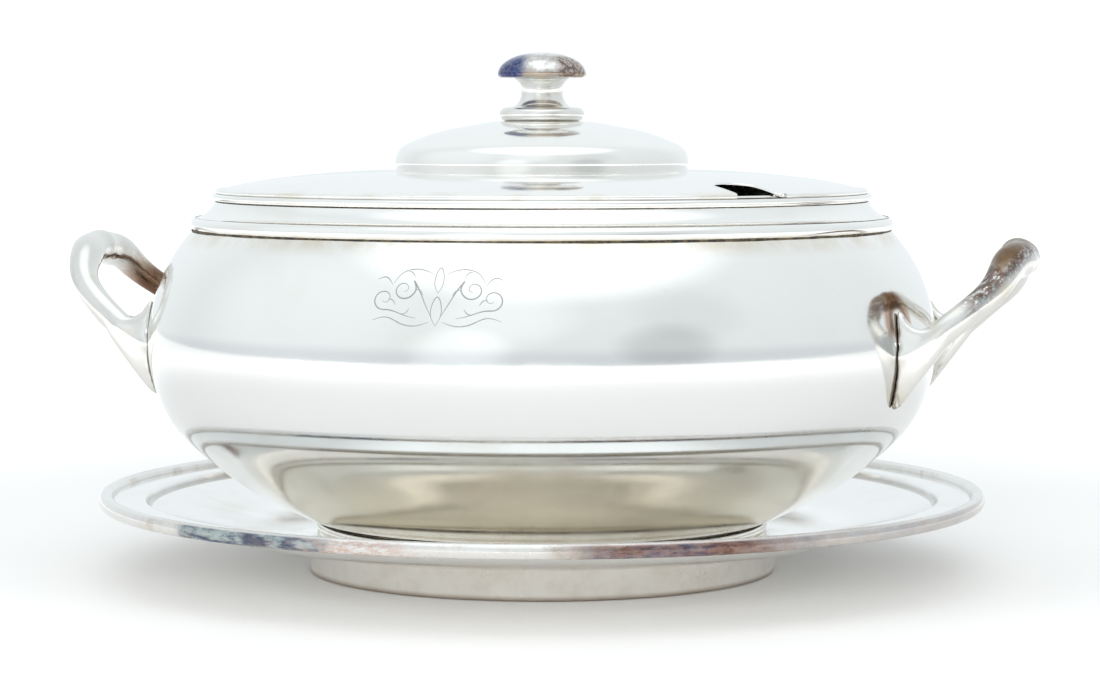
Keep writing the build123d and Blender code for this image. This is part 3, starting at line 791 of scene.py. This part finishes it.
# %% Border silver: what the stains are
film = f.step(f.noise(330, 4, 0.65, streak), 0.36, 0.60)
speck = f.step(f.noise(760, 4, 0.75, streak), 0.42, 0.58)
tone = f.mix(f.step(f.noise(140, 3, 0.6, streak), 0.40, 0.58), OXBLOOD, VIOLET)
tone = f.mix(f.step(f.noise(210, 3, 0.6, streak), 0.54, 0.64) * 0.7, tone, STEEL_BLUE)
colour = f.mix(right * outer * (0.82 + film * 0.17), colour, tone)
colour = f.mix(right * speck * 0.35, colour, BARE_COPPER)
colour = f.mix(left * outer * (0.55 + film * 0.4), colour, f.mix(film, SEA_BLUE, NIGHT))
colour = f.mix(copper * speck * 0.8 * outer, colour, PINK)
all_round = f.step(f.noise(36, 5, 0.7), 0.50, 0.72)
colour = f.mix(all_round * 0.5 * outer, colour, TAN)
pits = f.step(f.noise(900, 2, 0.6), 0.60, 0.70)
f.dents = f.dents + pits * -0.6
border_silver = close(f, colour, f.rough + (right + left + copper) * 0.12 + pits * 0.08)

# %% [markdown]
# The handles lean, so their stains are placed by two measures of the leaning plane: how
# far along the loop a point is from the bowl, and how far above the plane it lies. The
# right one has a mottled film on top towards its tip, brown at the very crown, and the
# left one is burnt brown where its rear limb meets the bowl. Solder stays dark in the
# angle between each foot and the wall, which is found from the height over the bowl.

# %% Handle silver: measures
CAST_BASE, CAST_GLOSS = (0.75, 0.74, 0.715), 0.10
CROWN_BROWN, BURNT = (0.17, 0.10, 0.05), (0.36, 0.175, 0.075)
CHARRED, SOLDER = (0.10, 0.045, 0.025), (0.19, 0.13, 0.085)
LEAN, LOOP_ROOT, LOOP_TIP = radians(49.8), (0.1464, 0.0833), (0.1765, 0.1189)
f, colour = silver("silver_handle", 0.25, 0.3, CAST_BASE, CAST_GLOSS)
out_x = abs(f.x)
along = (out_x - LOOP_ROOT[0]) * cos(LEAN) + (f.z - LOOP_ROOT[1]) * sin(LEAN)
above = (f.z - LOOP_TIP[1]) * cos(LEAN) - (out_x - LOOP_TIP[0]) * sin(LEAN)
is_right = f.step(f.x, -0.01, 0.01)
stretch = f.node("ShaderNodeCombineXYZ", {}, X=f.y, Y=above, Z=along * 0.45)
print("loops lean out by", round(LEAN, 3), "radians")

# %% Handle silver: film, crown, burn and solder
grain = f.noise(520, 5, 0.72, stretch)
patchy = f.step(f.noise(210, 4, 0.65, stretch), 0.36, 0.50)
tip = f.step(along, 0.021, 0.031) * f.step(above, -0.0065, -0.0025) * f.step(f.y, 0.016, 0.004) * is_right
tip = tip * (0.35 + patchy * 0.65) * f.step(grain, 0.34, 0.47)
mottle = f.mix(f.step(f.noise(260, 4, 0.7), 0.44, 0.6), UMBER, PLUM)
mottle = f.mix(f.step(f.noise(330, 4, 0.7), 0.56, 0.64) * 0.85, mottle, TEAL)
colour = f.mix(tip * 0.96, colour, mottle)
crown = f.step(along, 0.037, 0.044) * f.step(above, -0.004, 0.001) * f.step(f.y, 0.014, 0.004) * is_right
colour = f.mix(crown * 0.92, colour, CROWN_BROWN)
rear_left = f.step(f.y, 0.004, 0.014) * (1 - is_right) * f.step(f.z, 0.082, 0.091)
burnt = rear_left * f.step(along + (f.noise(120, 4, 0.65) - 0.5) * 0.012, 0.043, 0.030)
colour = f.mix(burnt * 0.85, colour, BURNT)
darkest = rear_left * f.step(along + (f.noise(150, 4, 0.65) - 0.5) * 0.010, 0.039, 0.028)
colour = f.mix(darkest * 0.85, colour, CHARRED)
colour = f.mix(f.step(f.noise(48, 4, 0.6), 0.5, 0.72) * 0.35, colour, STRAW)
drop = f.z - BELLY_Z * MM
below = f.step(f.z, 0.0815, 0.0805)
skin = BELLY_R * MM - drop * drop * (below * 11.0 + 4.5)
lift = f.radius - skin
solder = f.step(lift + (f.noise(200, 3, 0.6) - 0.5) * 0.0006, 0.0011, 0.0005)
colour = f.mix(solder * 0.8, colour, SOLDER)
handle_silver = close(f, colour, f.rough + tip * 0.12 + solder * 0.3)

# %% [markdown]
# The knob is held by damp fingers and wiped last, so its cap has the strongest colours on
# the tureen: a blue-black patch on one side, a brown one on the other and a grey film
# between them. They are placed as ragged spots.

# %% Finial silver
KNOB_BASE, CAP_FILM, CAP_BLUE = (0.80, 0.79, 0.765), (0.33, 0.28, 0.27), (0.025, 0.045, 0.17)
CAP_LIP = 0.1845
f, colour = silver("silver_finial", 0.3, 0.2, KNOB_BASE, CAST_GLOSS)
on_cap = f.step(f.z, 0.1825, 0.1840)
blue = f.spot((-12.5, -10, 186.0), 12.5, 0.25, 160, 0.35) * on_cap
brown = f.spot((13.5, -7.0, 187.0), 9.5, 0.30, 180, 0.4) * on_cap
cap_film = f.step(f.noise(140, 5, 0.7), 0.40, 0.58) * on_cap
colour = f.mix(cap_film * 0.55, colour, CAP_FILM)
cap_lip = f.step(abs(f.z - CAP_LIP), 0.0012, 0.0004)
colour = f.mix(cap_lip * 0.6, colour, BROWN)
grains = f.step(f.noise(650, 4, 0.75), 0.42, 0.56)
colour = f.mix(brown * (0.5 + grains * 0.45), colour, f.mix(grains, BROWN, (0.15, 0.10, 0.10)))
colour = f.mix(blue * (0.8 + grains * 0.18), colour, CAP_BLUE)
colour = f.mix(f.step(f.noise(70, 4, 0.6), 0.48, 0.7) * 0.4, colour, STRAW)
finial_silver = close(f, colour)

# %% [markdown]
# Three plain finishes are left. The seams are soot and dried polish, not metal, with painted
# shade in the line under the lid's edge and all of the line under the bowl's foot. The cut
# lines are silver that has greyed. The stud, washer and nut are nickel, dull and warm.

# %% Seams, engraving and nickel
SOOT_AND_SHADE_BLACK, OLD_POLISH = (0.012, 0.010, 0.008), (0.09, 0.065, 0.035)
CUT_DARK, CUT_LIGHT, NICKEL = (0.30, 0.30, 0.29), (0.52, 0.52, 0.50), (0.55, 0.53, 0.49)
# This black finish serves the dirty joints and the painted shade lines alike.
f = Finish("grime_and_shade", Metallic=0.0)
soot = f.noise(300, 4, 0.7)
f.feed("Base Color", f.mix(f.step(soot, 0.42, 0.62), SOOT_AND_SHADE_BLACK, OLD_POLISH))
f.feed("Roughness", 0.45 + soot * 0.4)
grime_and_shade = f.material

f = Finish("cut_line", Metallic=1.0)
f.feed("Base Color", f.mix(f.noise(300, 3, 0.6), CUT_DARK, CUT_LIGHT))
f.feed("Roughness", 0.30 + f.noise(500, 3, 0.6) * 0.25)
cut_line = f.material
print(grime_and_shade.name, cut_line.name)

f, colour = silver("plain_nickel", 0.3, 0.2, NICKEL, 0.28)
stud_metal = close(f, colour)

# %% [markdown]
# ## Giving each piece its finish
# The pieces that stand for engineering parts take the finish of their slot. The few
# engineering parts that still show get the same treatment through their own slots.

# %% Assign finishes
BY_SLOT = {"bowl_silver": bowl_silver, "collar_silver": collar_silver, "lid_silver": lid_silver,
           "tray_silver": tray_silver, "foot_silver": foot_silver, "border_silver": border_silver,
           "handle_silver": handle_silver, "finial_silver": finial_silver, "stud_metal": stud_metal}
for obj in PIECES:
    finish = BY_SLOT[obj["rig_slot"]]
    if obj.name.endswith(("_seam", "_line")):
        finish = grime_and_shade
    if obj.name == "engraved_scroll":
        finish = cut_line
    obj.data.materials.clear()
    obj.data.materials.append(finish)
for part in frame["record"]["subparts"]:
    for holder in frame["nodes"][part["node"]].material_slots:
        holder.material = BY_SLOT[part["material_slot"]]
print(len(PIECES), "pieces and", len(frame["nodes"]), "engineering parts have a finish")

# %% [markdown]
# ## Room, floor and camera
# Polished metal is a picture of its room. This one is a white tent, slightly cool, and
# painted straight into the world: soft bright and darker patches in chosen directions
# take the place of cards and lamps that would show in the metal as hard shapes. The rays
# that go straight to the camera see it a little brighter, so the paper runs out to white.

# %% The tent
CAMERA_WHITE, MATT_SHARE, TENT_TINT = 1.1, 0.48, (0.915, 0.972, 1.0, 1)
WALL_GREY, WALL_RISE = 0.89, 0.10
# azimuth from the front, elevation, inner and outer angle in degrees, and strength
PATCHES = ((14, 78, 18, 42, 0.5), (-62, 22, 12, 46, 0.10), (-9, 9, 3, 17, 0.26), (2, 30, 3, 24, 0.14),
           (194, 12, 15, 60, 0.09), (50, 10, 4, 18, -0.20), (60, 30, 2, 20, -0.08))
world = bpy.data.worlds.new("tent")
scene.world = world
world.use_nodes = True
tent = Graph(world.node_tree)
way = tent.node("ShaderNodeTexCoord", {}, "Generated")


def lobe(azimuth, elevation, narrow, wide):
    """1 where the tent is seen in a direction, falling to 0 at the wide angle. In degrees."""
    a, e = radians(azimuth), radians(elevation)
    aim = (sin(a) * cos(e), -cos(a) * cos(e), sin(e))
    near = tent.node("ShaderNodeVectorMath", {"operation": "DOT_PRODUCT"}, "Value", _0=way, _1=aim)
    return tent.step(near, cos(radians(wide)), cos(radians(narrow)))


light = WALL_GREY + tent.node("ShaderNodeSeparateXYZ", {}, 2, _0=way) * WALL_RISE
for *where, strength in PATCHES:
    light = light + lobe(*where) * strength
seen = tent.node("ShaderNodeLightPath", {}, "Is Camera Ray")
matt = tent.node("ShaderNodeLightPath", {}, "Is Diffuse Ray")
light = light * (1 - matt * MATT_SHARE)
light = light * (1 - seen) + seen * CAMERA_WHITE
backdrop = world.node_tree.nodes["Background"]
world.node_tree.links.new(light.socket, backdrop.inputs["Strength"])
backdrop.inputs["Color"].default_value = TENT_TINT
print("tent", len(world.node_tree.nodes), "nodes")

# %% [markdown]
# The table is white paper. Far from the tureen it glows a little, as a lit sweep does
# where it bends up, and so the horizon disappears. The lamps only light the paper and
# shape the shadow: none of them shows in the metal.

# %% Table and lamps
bpy.ops.mesh.primitive_grid_add(x_subdivisions=4, y_subdivisions=4, size=9.0, location=(0, 0, -0.0002))
floor = bpy.context.object
floor.name = "table"
f = Finish("white_table", Roughness=0.55, Specular_IOR_Level=0.25, Emission_Strength=0.35)
f.feed("Base Color", f.mix(f.noise(9, 3, 0.5), (0.93, 0.93, 0.925), (0.955, 0.955, 0.95)))
f.feed("Emission Color", f.mix(f.step(f.radius, 0.28, 0.85), (0.0, 0.0, 0.0), (1.0, 1.0, 1.0)))
floor.data.materials.append(f.material)

SUN_POWER, SUN_SPREAD, SUN_TINT = 0.9, radians(120), (1.0, 0.975, 0.95)
LAMP_SIZE, LAMP_TINT = 1.2, (1.0, 0.985, 0.96)
LAMPS = (("low_front", (0.4, -2.0, 0.36), 34.0), ("low_left", (-1.5, -1.3, 0.40), 17.0),
         ("low_right", (1.9, -0.8, 0.40), 17.0))
overhead = bpy.data.lights.new("overhead", "SUN")
overhead.energy, overhead.angle, overhead.color = SUN_POWER, SUN_SPREAD, SUN_TINT
sun = bpy.data.objects.new("overhead", overhead)
sun.visible_glossy = False
scene.collection.objects.link(sun)
for name, place, power in LAMPS:
    data = bpy.data.lights.new(name, "AREA")
    data.shape, data.size, data.energy, data.color = "DISK", LAMP_SIZE, power, LAMP_TINT
    lamp = bpy.data.objects.new(name, data)
    scene.collection.objects.link(lamp)
    lamp.location = place
    lamp.rotation_euler = (-Vector(place)).to_track_quat("-Z", "Y").to_euler()
    lamp.visible_glossy = False
print("lamps", [name for name, *_ in LAMPS], "and a soft sun overhead")

# %% [markdown]
# The camera stands a little right of the front, level with the crown of the lid, with a
# long lens. A mirror inside a mirror needs many bounces, or it turns black in its folds.

# %% Camera
DISTANCE, EYE_H, YAW, PITCH, SIDE = 1.170, 0.167, 0.247, radians(3.953), radians(0.146)
SENSOR, LENS_TO_WIDTH, BOUNCES = 36.0, 3130 / 1100, 24
eye = Vector((DISTANCE * sin(YAW), -DISTANCE * cos(YAW), EYE_H))
heading = YAW - SIDE
look = Vector((-sin(heading) * cos(PITCH), cos(heading) * cos(PITCH), -sin(PITCH)))
lens = bpy.data.cameras.new("camera")
lens.sensor_width, lens.lens = SENSOR, SENSOR * LENS_TO_WIDTH
camera = bpy.data.objects.new("camera", lens)
scene.collection.objects.link(camera)
camera.location = eye
camera.rotation_euler = look.to_track_quat("-Z", "Y").to_euler()
scene.camera = camera
scene.view_settings.view_transform = "Standard"
scene.view_settings.look = "None"
scene.cycles.max_bounces = scene.cycles.glossy_bounces = BOUNCES
print("camera", [round(v, 4) for v in eye], "lens", round(lens.lens, 1))

# %% [markdown]
